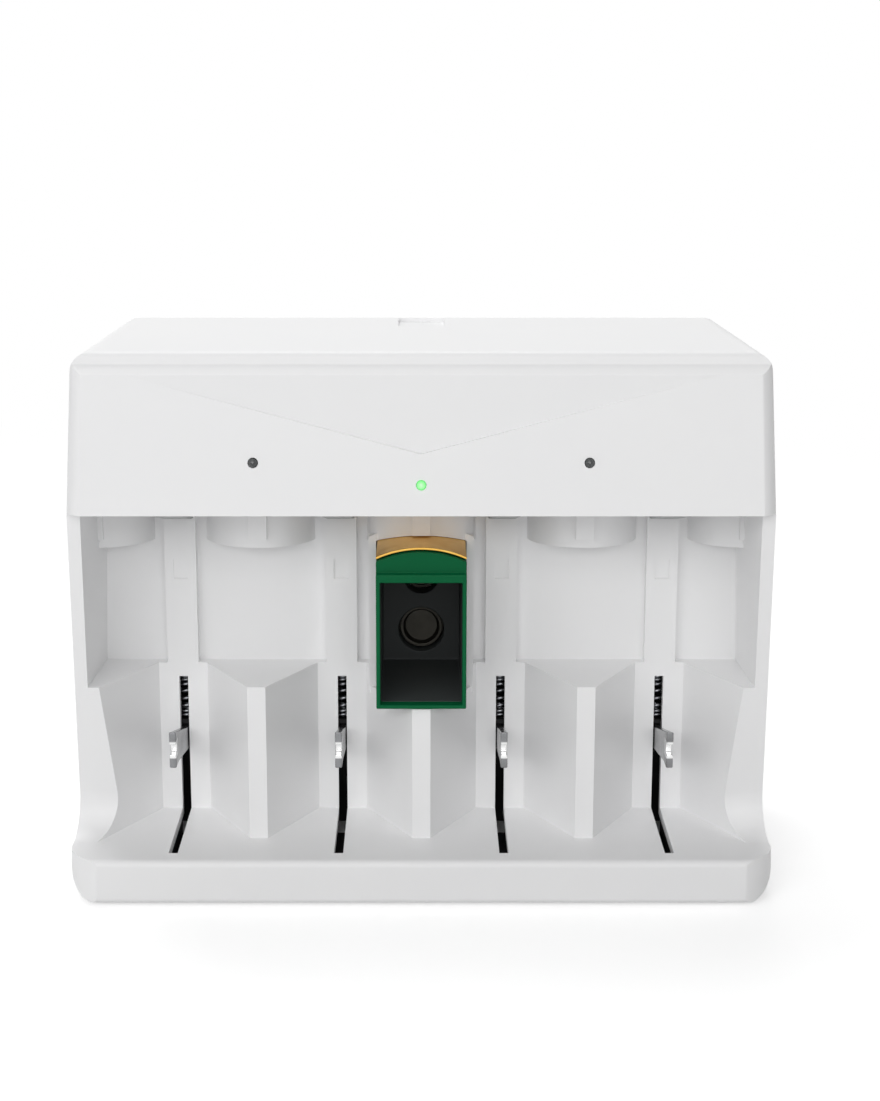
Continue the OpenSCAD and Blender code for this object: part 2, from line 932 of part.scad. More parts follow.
module blade(i) {
    fork_mid = tip_low + tip_h / 2;
    color("lightgray") in_frame() along_x(bay_x[i] - blade_t / 2, bay_x[i] + blade_t / 2) polygon([
        [tip_y, tip_top],
        [tip_y, fork_mid + fork_h / 2],
        [tip_y + fork_deep, fork_mid + fork_h / 2],
        [tip_y + fork_deep, fork_mid - fork_h / 2],
        [tip_y, fork_mid - fork_h / 2],
        [tip_y, tip_low],
        [tip_y + fork_deep + 2, tip_low],
        [floor_y, root_low],
        [root_back, root_low],
        [root_back, root_high],
        [floor_y, root_high]
    ]);
}

// Ring of wire around the coil's centre line, at turn t
function coil_ring(t) =
    let (mid = (spring_d - spring_wire) / 2)
    let (low = spring_low + spring_wire / 2)
    let (rise = spring_high - spring_low - spring_wire)
    [for (k = [0:spring_sides - 1])
        let (a = 360 * k / spring_sides)
        let (r = mid + spring_wire / 2 * cos(a))
        [r * cos(360 * t), r * sin(360 * t), low + rise * t / spring_turns + spring_wire / 2 * sin(a)]];

module slider_spring(i) {
    rings = spring_turns * spring_steps;
    points = [for (s = [0:rings]) each coil_ring(s / spring_steps)];
    walls = [for (s = [0:rings - 1]) for (k = [0:spring_sides - 1])
        let (a = s * spring_sides + k)
        let (b = s * spring_sides + (k + 1) % spring_sides)
        [a, a + spring_sides, b + spring_sides, b]];
    first = [for (k = [0:spring_sides - 1]) k];
    last = [for (k = [spring_sides - 1:-1:0]) rings * spring_sides + k];
    color("silver") in_frame() translate([bay_x[i], spring_y, 0])
        polyhedron(points, concat(walls, [first, last]), convexity = 10);
}

// Lights: clear rods from the board to the face
module light(x, z) {
    tip = face_at(z) - light_out;
    dome = light_d / 2;
    in_frame() translate([x, board_y, z]) rotate([90, 0, 0]) rotate_extrude() {
        square([dome, board_y - tip - dome]);
        square([dome + light_flange, light_flange_t]);
        intersection() {
            translate([0, board_y - tip - dome]) circle(dome);
            translate([0, board_y - tip - dome - fit_gap]) square(2 * dome);
        }
    }
}

module led_left() {
    color("darkslategray") light(-light_x, light_z);
}

module led_right() {
    color("darkslategray") light(light_x, light_z);
}

module led_nine_volt() {
    color("limegreen") light(0, nine_light_z);
}

// Board and what it carries
module main_board() {
    color("darkgreen") in_frame() difference() {
        box([-board_half, board_y, board_low], [board_half, board_back, board_high]);
        for (x = [-boss_x, boss_x]) for (z = boss_zs)
            rod_y(x, z, board_y - past, board_back + past, board_hole_d);
    }
}

module board_screws() {
    color("silver") in_frame() for (x = [-boss_x, boss_x]) for (z = boss_zs)
        translate([x, board_back, z]) rotate([90, 0, 0]) rotate_extrude() {
            square([pilot_d / 2 - seat_gap, board_t + board_screw_len]);
            translate([0, -board_head_h]) square([board_head_r, board_head_h]);
        }
}

module control_chip() {
    color("black") in_frame() box(
        [chip_x - chip_w / 2, board_back, board_mid - chip_h / 2],
        [chip_x + chip_w / 2, board_back + chip_t, board_mid + chip_h / 2]
    );
}

module bulk_capacitor() {
    color("darkslateblue") in_frame() rod_y(bulk_x, board_mid, board_back, board_back + bulk_len, bulk_d);
}

module output_capacitors() {
    color("darkslateblue") in_frame() for (i = [0:3])
        rod_y(output_x + output_pitch * i, output_z, board_back, board_back + output_len, output_d);
}

module fuse() {
    lead_half = fuse_lead / 2;
    ends = [fuse_x - fuse_lead_out, fuse_x + fuse_len + fuse_lead_out];
    color("lightgray") in_frame() {
        rod_x(fuse_x, fuse_x + fuse_len, fuse_y, fuse_z, fuse_d);
        for (x = [fuse_x, fuse_x + fuse_len - fuse_cap_len])
            rod_x(x, x + fuse_cap_len, fuse_y, fuse_z, fuse_cap_d);
        for (x = ends) box(
            [x - lead_half, board_back, fuse_z - lead_half],
            [x + lead_half, fuse_y + lead_half, fuse_z + lead_half]
        );
        box(
            [ends[0] - lead_half, fuse_y - lead_half, fuse_z - lead_half],
            [ends[1] + lead_half, fuse_y + lead_half, fuse_z + lead_half]
        );
    }
}

module transformer_core() {
    window_w = (core_w - 4 * core_leg) / 2;
    color("gray") in_frame() translate([core_x, core_y, base_in]) difference() {
        translate([-core_w / 2, -core_t / 2, 0]) cube([core_w, core_t, core_h]);
        both_sides() translate([core_leg, -core_t / 2 - past, core_leg])
            cube([window_w, core_t + 2 * past, core_h - 2 * core_leg]);
    }
}

module transformer_coil() {
    window_w = (core_w - 4 * core_leg) / 2;
    coil_low = core_leg + fit_gap;
    coil_high = core_h - core_leg - fit_gap;
    color("peru") in_frame() translate([core_x, core_y, base_in]) difference() {
        translate([-core_leg - window_w + fit_gap, -coil_t / 2, coil_low])
            cube([2 * (core_leg + window_w - fit_gap), coil_t, coil_high - coil_low]);
        translate([-core_leg - fit_gap, -core_t / 2 - fit_gap, -past])
            cube([2 * (core_leg + fit_gap), core_t + 2 * fit_gap, core_h + 2 * past]);
    }
}

// Mains inlet: a block with a figure-of-eight socket
module mains_inlet() {
    color("black") in_frame() translate([inlet_x, 0, inlet_z]) difference() {
        union() {
            box([-inlet_w / 2, depth - inlet_len, -inlet_h / 2], [inlet_w / 2, depth, inlet_h / 2]);
            box(
                [-inlet_w / 2 - inlet_rim, rear_in - inlet_rim_t, -inlet_h / 2 - inlet_rim],
                [inlet_w / 2 + inlet_rim, rear_in, inlet_h / 2 + inlet_rim]
            );
        }
        along_y(depth - socket_deep, depth + past) union() {
            translate([-socket_pitch / 2, 0]) circle(socket_r);
            translate([socket_pitch / 2, 0]) circle(socket_r);
            translate([-socket_pitch / 2, -socket_waist]) square([socket_pitch, 2 * socket_waist]);
        }
        for (x = [-1, 1])
            rod_y(x * socket_pitch / 2, 0, depth - inlet_len - past, depth, pin_d + 2 * fit_gap);
    }
}

module inlet_pins() {
    back = depth - inlet_len - pin_tail;
    front = depth - socket_deep + pin_len;
    color("silver") in_frame() for (x = [-1, 1])
        rod_y(inlet_x + x * socket_pitch / 2, inlet_z, back, front, pin_d);
}

module cover_screws() {
    color("silver") in_frame() both_sides() for (z = post_zs)
        translate([post_x, screw_seat, z]) rotate([90, 0, 0]) rotate_extrude() {
            square([screw_d / 2, screw_len]);
            translate([0, -screw_head_h]) square([screw_head / 2, screw_head_h]);
        }
}

module rubber_feet() {
    color("dimgray") in_frame() for (x = foot_xs) for (y = [foot_front_y, foot_rear_y])
        translate([x, y, 0]) cylinder(d = foot_d, h = foot_h + foot_seat);
}

front_shell();
rear_cover();
nine_volt_sleeve();
nine_volt_leaf();
snap_carrier();
snap_plus();
snap_minus();
plus_contact(0);  // plus_contact_1
plus_contact(1);  // plus_contact_2
plus_contact(2);  // plus_contact_3
plus_contact(3);  // plus_contact_4
guide(0);  // guide_1
guide(1);  // guide_2
guide(2);  // guide_3
guide(3);  // guide_4
carriage(0);  // carriage_1
carriage(1);  // carriage_2
carriage(2);  // carriage_3
carriage(3);  // carriage_4
blade(0);  // blade_1
blade(1);  // blade_2
blade(2);  // blade_3
blade(3);  // blade_4
slider_spring(0);  // slider_spring_1
slider_spring(1);  // slider_spring_2
slider_spring(2);  // slider_spring_3
slider_spring(3);  // slider_spring_4
led_left();
led_right();
led_nine_volt();
main_board();
board_screws();
control_chip();
bulk_capacitor();
output_capacitors();
fuse();
transformer_core();
transformer_coil();
mains_inlet();
inlet_pins();
cover_screws();
rubber_feet();
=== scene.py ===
"""Looks of an upright battery charger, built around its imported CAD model.

The housing, slides and drawer keep the CAD shapes. Moulded and stamped pieces get softened edges
on copies of their nodes, springs and cover screws are new surfaces, and each piece gets a finish.
"""

from __future__ import annotations

import json
import logging
import math
from dataclasses import dataclass, field
from enum import Enum
from typing import Any, Union

import bmesh
import bpy
import numpy as np
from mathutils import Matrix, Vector

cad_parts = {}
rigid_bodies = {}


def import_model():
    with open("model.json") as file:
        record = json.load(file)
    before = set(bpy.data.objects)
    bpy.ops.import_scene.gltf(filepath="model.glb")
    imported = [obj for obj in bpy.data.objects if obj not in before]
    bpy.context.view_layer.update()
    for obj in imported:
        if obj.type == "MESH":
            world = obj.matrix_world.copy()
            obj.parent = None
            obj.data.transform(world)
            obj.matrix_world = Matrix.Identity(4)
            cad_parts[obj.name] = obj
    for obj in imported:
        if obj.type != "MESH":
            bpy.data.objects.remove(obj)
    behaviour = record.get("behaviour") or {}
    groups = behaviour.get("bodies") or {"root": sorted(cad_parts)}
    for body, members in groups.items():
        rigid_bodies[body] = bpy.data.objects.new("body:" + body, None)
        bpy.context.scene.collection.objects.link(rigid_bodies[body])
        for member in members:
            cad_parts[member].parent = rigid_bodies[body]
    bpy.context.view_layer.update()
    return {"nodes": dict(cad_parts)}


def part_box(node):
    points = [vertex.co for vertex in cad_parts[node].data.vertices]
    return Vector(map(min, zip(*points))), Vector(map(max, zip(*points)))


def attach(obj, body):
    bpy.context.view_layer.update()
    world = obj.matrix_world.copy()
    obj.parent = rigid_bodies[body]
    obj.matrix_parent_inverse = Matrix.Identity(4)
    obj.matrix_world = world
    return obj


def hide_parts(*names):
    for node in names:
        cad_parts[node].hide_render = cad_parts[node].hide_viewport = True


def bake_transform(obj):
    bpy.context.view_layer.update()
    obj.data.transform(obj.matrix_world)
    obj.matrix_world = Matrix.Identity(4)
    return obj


LOG = logging.getLogger("charger")
MM = 0.001
Colour = tuple[float, float, float]
Place = tuple[float, float, float]
BLACK: Colour = (0, 0, 0)
WHITE: Colour = (1, 1, 1)


class Slot(Enum):
    """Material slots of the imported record."""

    WHITE_PLASTIC = "white_plastic"
    GREEN_PLASTIC = "green_plastic"
    BLACK_PLASTIC = "black_plastic"
    BRASS = "brass"
    PLATED_CONTACT = "plated_contact"
    STEEL = "steel"
    CORE_STEEL = "core_steel"
    WINDING = "winding"
    DARK_LENS = "dark_lens"
    GREEN_LENS = "green_lens"
    BOARD = "board"
    CAPACITOR_SLEEVE = "capacitor_sleeve"
    RUBBER = "rubber"


class Body(Enum):
    """CAD bodies that single pieces ride on."""

    HOUSING = "housing"
    DRAWER = "nine_volt_drawer"


def linear(red: int, green: int, blue: int) -> Colour:
    """Turns a display colour into the linear one that shaders use.

    Args:
        red: Red from 0 to 255.
        green: Green from 0 to 255.
        blue: Blue from 0 to 255.

    Returns:
        The three linear channels.
    """
    share = np.array([red, green, blue]) / 255
    low = share / 12.92
    high = ((share + 0.055) / 1.055) ** 2.4
    return tuple(float(c) for c in np.where(share <= 0.04045, low, high))


Value = Union["Socket", float]


class Socket:
    """A number socket whose arithmetic adds Math nodes."""

    def __init__(self, graph: "Graph", socket: bpy.types.NodeSocket) -> None:
        """Keeps the socket and the graph that it belongs to."""
        self.graph = graph
        self.socket = socket

    def _math(self, operation: str, first: Value, second: Value) -> "Socket":
        """Adds one Math node.

        Args:
            operation: Blender's name of the operation.
            first: Left operand.
            second: Right operand.

        Returns:
            The node's result.
        """
        return self.graph.node("Math", {"operation": operation}, {0: first, 1: second})

    def __add__(self, other: Value) -> "Socket":
        """Sum of both."""
        return self._math("ADD", self, other)

    def __radd__(self, other: Value) -> "Socket":
        """Sum of both, number first."""
        return self._math("ADD", other, self)

    def __sub__(self, other: Value) -> "Socket":
        """Difference."""
        return self._math("SUBTRACT", self, other)

    def __rsub__(self, other: Value) -> "Socket":
        """Difference, number first."""
        return self._math("SUBTRACT", other, self)

    def __mul__(self, other: Value) -> "Socket":
        """Product of both."""
        return self._math("MULTIPLY", self, other)

    def __rmul__(self, other: Value) -> "Socket":
        """Product of both, number first."""
        return self._math("MULTIPLY", other, self)


class Graph:
    """One material's or world's node tree, written as expressions."""

    def __init__(self, tree: bpy.types.NodeTree) -> None:
        """Empties the tree and keeps it."""
        self.tree = tree
        tree.nodes.clear()

    def node(
        self,
        kind: str,
        settings: dict[str, Any] | None = None,
        inputs: dict[int | str, Any] | None = None,
        output: int | str = 0,
    ) -> Socket:
        """Adds any node.

        Args:
            kind: The node's type without its ShaderNode prefix.
            settings: Properties, set first; "stops" is a ramp's list of positions and colours.
            inputs: Values or links of its sockets, by index or name.
            output: Which output the returned socket is.

        Returns:
            The chosen output.
        """
        made = self.tree.nodes.new("ShaderNode" + kind)
        for name, value in (settings or {}).items():
            if name == "stops":
                self._set_stops(made.color_ramp, value)
            else:
                setattr(made, name, value)
        for key, value in (inputs or {}).items():
            if isinstance(value, Socket):
                self.tree.links.new(value.socket, made.inputs[key])
            else:
                made.inputs[key].default_value = value
        found = made.outputs[output] if len(made.outputs) else None
        return Socket(self, found)

    @staticmethod
    def _set_stops(ramp: bpy.types.ColorRamp, stops: list[tuple[float, Colour]]) -> None:
        """Gives a ramp its stops.

        Args:
            ramp: The ramp of a Color Ramp node.
            stops: Positions and colours from left to right.
        """
        while len(ramp.elements) < len(stops):
            ramp.elements.new(1.0)
        for element, (place, colour) in zip(ramp.elements, stops):
            element.position = place
            element.color = (*colour, 1.0)

    def place(self) -> Socket:
        """Object coordinates, in metres."""
        return self.node("TexCoord", output="Object")

    def axis(self, name: str) -> Socket:
        """One axis of the Object coordinates, in metres."""
        return self.node("SeparateXYZ", inputs={0: self.place()}, output=name)

    def noise(self, grain: float, detail: float = 2.0, stretch: Place = (1, 1, 1)) -> Socket:
        """Cloudy noise on Object coordinates.

        Args:
            grain: Size of one cloud in metres.
            detail: Number of finer layers.
            stretch: Scale along each axis.

        Returns:
            A number around one half.
        """
        spot = self.node("Mapping", inputs={"Vector": self.place(), "Scale": stretch})
        return self.node("TexNoise", inputs={"Vector": spot, "Scale": 1 / grain, "Detail": detail})

    def wave(self, axis: str, pitch: float, distortion: float = 0.0) -> Socket:
        """Even bands on Object coordinates.

        Args:
            axis: The axis along which one band follows another.
            pitch: Size of a band in metres, roughly.
            distortion: How much the bands waver.

        Returns:
            A number between nought in the grooves and one on the crests.
        """
        return self.node("TexWave", {"bands_direction": axis}, {
            "Vector": self.place(), "Scale": 0.5 / pitch, "Distortion": distortion,
        }, output=1)

    def fade(self, value: Value, start: float, end: float, smooth: bool = False) -> Socket:
        """Falls from one to nought.

        Args:
            value: The number that is followed.
            start: Where the fall begins.
            end: Where it ends.
            smooth: Whether the fall is eased at both ends.

        Returns:
            One up to the start and nought past the end.
        """
        easing = "SMOOTHSTEP" if smooth else "LINEAR"
        return self.node("MapRange", {"interpolation_type": easing}, {
            "Value": value, "From Min": start, "From Max": end, "To Min": 1.0, "To Max": 0.0,
        })

    def blend(self, share: Value, first: Any, second: Any) -> Socket:
        """Mixes two colours.

        Args:
            share: How much of the second, from 0 to 1.
            first: First colour or link.
            second: Second colour or link.

        Returns:
            The mixed colour.
        """
        pair = [c if isinstance(c, Socket) else (*c, 1.0) for c in (first, second)]
        return self.node(
            "Mix", {"data_type": "RGBA"}, {"Factor": share, 6: pair[0], 7: pair[1]}, output=2
        )

    def bump(self, height: Value, strength: float, distance: float) -> Socket:
        """Turns a height into a normal.

        Args:
            height: Height field.
            strength: Share of the effect.
            distance: Height in metres that a value of one stands for.

        Returns:
            The normal.
        """
        return self.node(
            "Bump", inputs={"Strength": strength, "Distance": distance, "Height": height}
        )

    def surface(self, shader: Socket) -> None:
        """Links a shader to the material's output."""
        self.node("OutputMaterial", inputs={"Surface": shader})


def new_material(name: str) -> tuple[bpy.types.Material, Graph]:
    """Makes an empty node material.

    Args:
        name: The material's name.

    Returns:
        The material and its graph.
    """
    material = bpy.data.materials.new(name)
    material.use_nodes = True
    return material, Graph(material.node_tree)


@dataclass(frozen=True)
class MouldedPlastic:
    """Injection-moulded plastic: fine spark texture, faint clouding and handling gloss."""

    name: str
    colour: Colour
    shade: Colour
    roughness: float = 0.42
    shine: float = 0.5
    gloss_change: float = 0.10
    spark_grain: float = 0.35 * MM
    spark_height: float = 0.012 * MM
    spark_gloss: float = 0.06
    spark_strength: float = 0.5
    cloud_grain: float = 38 * MM
    layers: int = 3

    def make(self) -> bpy.types.Material:
        """Colour clouds between two near tones; roughness follows clouds and spark texture."""
        material, graph = new_material(self.name)
        cloud = graph.noise(self.cloud_grain, detail=self.layers)
        spark = graph.noise(self.spark_grain, detail=self.layers)
        gloss = (cloud - 0.5) * self.gloss_change
        shader = graph.node("BsdfPrincipled", inputs={
            "Base Color": graph.blend(cloud, self.colour, self.shade),
            "Roughness": self.roughness + gloss + (spark - 0.5) * self.spark_gloss,
            "Specular IOR Level": self.shine,
            "Normal": graph.bump(spark, self.spark_strength, self.spark_height),
        })
        graph.surface(shader)
        return material


@dataclass(frozen=True)
class RolledMetal:
    """Sheet or wire with fine rolling lines and patches of tarnish."""

    name: str
    colour: Colour
    tarnish: Colour
    roughness: float
    grain: float = 0.12 * MM
    along: Place = (1, 1, 0.06)
    line_layers: int = 2
    line_gloss: float = 0.10
    line_strength: float = 0.25
    line_height: float = 0.01 * MM
    patch_grain: float = 6 * MM
    patch_layers: int = 4
    patch_from: float = 0.42
    patch_full: float = 0.72
    tarnish_share: float = 0.5
    tarnish_dull: float = 0.14
    # painted highlight: an optional bright band painted across the front edge of a contact,
    # standing in for a glint of light
    painted_glint: Colour | None = None
    glint_height: float = 0.0
    glint_half: float = 0.0
    glint_front: float = 0.0
    band_fade: float = 0.3 * MM
    front_fade: float = 1.0 * MM

    def make(self) -> bpy.types.Material:
        """Stretched noise gives the rolling lines; slow noise mixes in the tarnish; a painted
        highlight band goes on top where one is set.
        """
        material, graph = new_material(self.name)
        lines = graph.noise(self.grain, detail=self.line_layers, stretch=self.along)
        patch = graph.noise(self.patch_grain, detail=self.patch_layers)
        stops = [(self.patch_from, BLACK), (self.patch_full, WHITE)]
        share = graph.node("ValToRGB", {"stops": stops}, {"Fac": patch}) * self.tarnish_share
        colour = graph.blend(share, self.colour, self.tarnish)
        # painted highlight band laid over the metal's colour
        if self.painted_glint is not None:
            colour = graph.blend(self.painted_glint_share(graph), colour, self.painted_glint)
        dull = share * self.tarnish_dull
        shader = graph.node("BsdfPrincipled", inputs={
            "Base Color": colour,
            "Metallic": 1.0,
            "Roughness": self.roughness + dull + (lines - 0.5) * self.line_gloss,
            "Normal": graph.bump(lines, self.line_strength, self.line_height),
        })
        graph.surface(shader)
        return material

    def painted_glint_share(self, graph: Graph) -> Socket:
        """Marks where the highlight is painted: a bright band on the front edge, standing in for a
        glint of light.

        That is a band round glint_height, by the distance above or below it, in front of
        glint_front.

        Args:
            graph: The finish's node tree.

        Returns:
            One in the patch, nought elsewhere.
        """
        height = graph.axis("Z") - self.glint_height
        away = graph.node("Math", {"operation": "ABSOLUTE"}, {0: height})
        band = graph.fade(away, self.glint_half, self.glint_half + self.band_fade)
        front = self.glint_front
        return band * graph.fade(graph.axis("Y"), front, front + self.front_fade)


@dataclass(frozen=True)
class LampLens:
    """Tinted lens of an indicator light."""

    name: str
    colour: Colour
    core: Colour
    glow: float
    middle: Vector
    radius: float
    roughness: float = 0.12
    grain: float = 0.5 * MM
    grain_gloss: float = 0.08
    coat: float = 0.6

    def make(self) -> bpy.types.Material:
        """Colour and glow fade from the lens's middle to its rim, by distance from its axis."""
        material, graph = new_material(self.name)
        spot = graph.node("VectorMath", {"operation": "SUBTRACT"}, {
            0: graph.place(), 1: tuple(self.middle),
        })
        across = graph.node("VectorMath", {"operation": "MULTIPLY"}, {0: spot, 1: (1, 0, 1)})
        reach = graph.node("VectorMath", {"operation": "LENGTH"}, {0: across}, output="Value")
        share = graph.fade(reach, 0.0, self.radius, smooth=True)
        tint = graph.blend(share, self.colour, self.core)
        shader = graph.node("BsdfPrincipled", inputs={
            "Base Color": tint,
            "Roughness": self.roughness + graph.noise(self.grain) * self.grain_gloss,
            "Coat Weight": self.coat,
            "Emission Color": tint,
            "Emission Strength": self.glow,
        })
        graph.surface(shader)
        return material


@dataclass(frozen=True)
class CircuitBoard:
    """Solder mask over glass weave, with copper lanes under it."""

    name: str = "board_mask"
    mask: Colour = linear(18, 74, 38)
    lane: Colour = linear(38, 108, 56)
    lanes_per_metre: float = 160.0
    lane_offset: float = 0.37
    lane_gap: float = 0.06
    roughness: float = 0.35
    weave_pitch: float = 0.7 * MM
    weave_gloss: float = 0.05
    weave_strength: float = 0.3
    weave_height: float = 0.02 * MM

    def make(self) -> bpy.types.Material:
        """A brick pattern gives the lanes; two crossed waves give the weave's bump."""
        material, graph = new_material(self.name)
        turned = graph.node("Mapping", inputs={
            "Vector": graph.place(),
            "Rotation": (math.radians(90), 0, 0),
            "Scale": (self.lanes_per_metre,) * 3,
        })
        lanes = graph.node("TexBrick", {"offset": self.lane_offset}, {
            "Vector": turned, "Color1": (*WHITE, 1), "Color2": (*WHITE, 1),
            "Mortar": (*BLACK, 1), "Scale": 1.0, "Mortar Size": self.lane_gap,
        })
        warp = graph.wave("X", self.weave_pitch)
        weft = graph.wave("Z", self.weave_pitch)
        shader = graph.node("BsdfPrincipled", inputs={
            "Base Color": graph.blend(lanes, self.mask, self.lane),
            "Roughness": self.roughness + warp * self.weave_gloss,
            "Normal": graph.bump(warp * weft, self.weave_strength, self.weave_height),
        })
        graph.surface(shader)
        return material


@dataclass(frozen=True)
class WoundWire:
    """Taped coil with the turns showing through."""

    name: str = "coil_tape"
    tape: Colour = linear(205, 160, 60)
    # painted shade: the grooves between turns are coloured darker
    groove_shade: Colour = linear(150, 96, 30)
    turn_pitch: float = 0.6 * MM
    turn_waver: float = 0.4
    turn_gloss: float = 0.15
    turn_strength: float = 0.5
    turn_height: float = 0.15 * MM
    roughness: float = 0.5

    def make(self) -> bpy.types.Material:
        """A wave along the height gives one band for each turn, in colour and bump; the colour
        paints shade into the grooves.
        """
        material, graph = new_material(self.name)
        turns = graph.wave("Z", self.turn_pitch, self.turn_waver)
        shader = graph.node("BsdfPrincipled", inputs={
            "Base Color": graph.blend(turns, self.groove_shade, self.tape),
            "Roughness": self.roughness - turns * self.turn_gloss,
            "Normal": graph.bump(turns, self.turn_strength, self.turn_height),
        })
        graph.surface(shader)
        return material


@dataclass(frozen=True)
class CoreStack:
    """Edges of stacked core sheets."""

    name: str = "core_stack"
    sheet: Colour = linear(96, 98, 102)
    seam: Colour = linear(42, 40, 40)
    sheet_pitch: float = 0.5 * MM
    sheet_strength: float = 0.4
    sheet_height: float = 0.05 * MM
    oxide_grain: float = 5 * MM
    oxide_layers: int = 4
    oxide_dull: float = 0.2
    metallic: float = 0.8
    roughness: float = 0.45

    def make(self) -> bpy.types.Material:
        """A wave along the depth gives the sheets, slow noise their oxide."""
        material, graph = new_material(self.name)
        sheets = graph.wave("Y", self.sheet_pitch)
        oxide = graph.noise(self.oxide_grain, detail=self.oxide_layers)
        shader = graph.node("BsdfPrincipled", inputs={
            "Base Color": graph.blend(sheets * oxide, self.seam, self.sheet),
            "Metallic": self.metallic,
            "Roughness": self.roughness + oxide * self.oxide_dull,
            "Normal": graph.bump(sheets, self.sheet_strength, self.sheet_height),
        })
        graph.surface(shader)
        return material


@dataclass
class Finishes:
    """All finishes of the charger, made once."""

    made: dict[Slot, bpy.types.Material] = field(default_factory=dict)

    def __post_init__(self) -> None:
        """Makes the finish of each slot, apart from the lamps."""
        recipes = {
            Slot.WHITE_PLASTIC: MouldedPlastic(
                "white_moulding", linear(247, 247, 247), linear(244, 244, 245)
            ),
            Slot.GREEN_PLASTIC: MouldedPlastic(
                "green_moulding", linear(0, 100, 58), linear(0, 84, 48), roughness=0.5, shine=0.12
            ),
            Slot.BLACK_PLASTIC: MouldedPlastic(
                "black_moulding", linear(34, 34, 35), linear(28, 28, 29), roughness=0.5, shine=0.3
            ),
            Slot.CAPACITOR_SLEEVE: MouldedPlastic(
                "shrink_sleeve", linear(40, 46, 84), linear(30, 34, 66), roughness=0.3
            ),
            Slot.RUBBER: MouldedPlastic(
                "foot_rubber", linear(70, 70, 70), linear(58, 58, 58), roughness=0.75,
                spark_height=0.03 * MM,
            ),
            Slot.BRASS: RolledMetal(
                "rolled_brass", linear(236, 190, 96), linear(206, 146, 60), 0.34,
                along=(0.06, 1, 1),
            ),
            Slot.PLATED_CONTACT: RolledMetal(
                "nickel_plate", linear(136, 137, 139), linear(88, 87, 86), 0.20,
                # painted highlight on the blades' front edge, in place of a glint of light
                painted_glint=linear(224, 224, 224),
                glint_height=32.47 * MM, glint_half=1.7 * MM, glint_front=-22.4 * MM,
            ),
            Slot.STEEL: RolledMetal(
                "spring_steel", linear(150, 152, 156), linear(104, 104, 108), 0.30
            ),
            Slot.CORE_STEEL: CoreStack(),
            Slot.WINDING: WoundWire(),
            Slot.BOARD: CircuitBoard(),
        }
        self.made = {slot: recipe.make() for slot, recipe in recipes.items()}

    def of(self, slot: Slot) -> bpy.types.Material:
        """The finish of a slot."""
        return self.made[slot]


def put_on(piece: bpy.types.Object, material: bpy.types.Material) -> None:
    """Gives a piece one material on all its faces.

    Args:
        piece: The object to dress.
        material: Its finish.
    """
    piece.data.materials.clear()
    piece.data.materials.append(material)
    faces = piece.data.polygons
    faces.foreach_set("material_index", np.zeros(len(faces), np.int32))


def grid_faces(rows: int, columns: int, first: int, wrap: bool, caps: bool) -> list[list[int]]:
    """Lists the faces of a grid of points: each joins four neighbours.

    Args:
        rows: Number of rows, along the path.
        columns: Number of columns, round the profile.
        first: Index of the grid's first point.
        wrap: Whether the last column meets the first.
        caps: Whether the first and last rows are closed with one face each.

    Returns:
        The point indices of each face.
    """
    index = first + np.arange(rows * columns).reshape(rows, columns)
    after = np.roll(index, -1, axis=1)
    near, far = (index, after) if wrap else (index[:, :-1], after[:, :-1])
    faces = np.stack([near[:-1], far[:-1], far[1:], near[1:]], axis=-1).reshape(-1, 4).tolist()
    if caps:
        faces += [index[0, ::-1].tolist(), index[-1].tolist()]
    return faces


def grid_mesh(name: str, grids: list[np.ndarray], wrap: bool, caps: bool) -> bpy.types.Object:
    """Makes one smooth surface piece from grids of points.

    Args:
        name: The object's name.
        grids: Arrays of rows by columns by 3, in metres.
        wrap: Whether each grid's last column meets its first.
        caps: Whether each grid's first and last rows are closed.

    Returns:
        The new object, linked to the scene.
    """
    faces: list[list[int]] = []
    first = 0
    for grid in grids:
        faces += grid_faces(grid.shape[0], grid.shape[1], first, wrap, caps)
        first += grid.shape[0] * grid.shape[1]
    points = np.concatenate([grid.reshape(-1, 3) for grid in grids])
    mesh = bpy.data.meshes.new(name)
    mesh.from_pydata(points.tolist(), [], faces)
    mesh.polygons.foreach_set("use_smooth", np.ones(len(mesh.polygons), bool))
    mesh.update()
    piece = bpy.data.objects.new(name, mesh)
    bpy.context.scene.collection.objects.link(piece)
    return piece


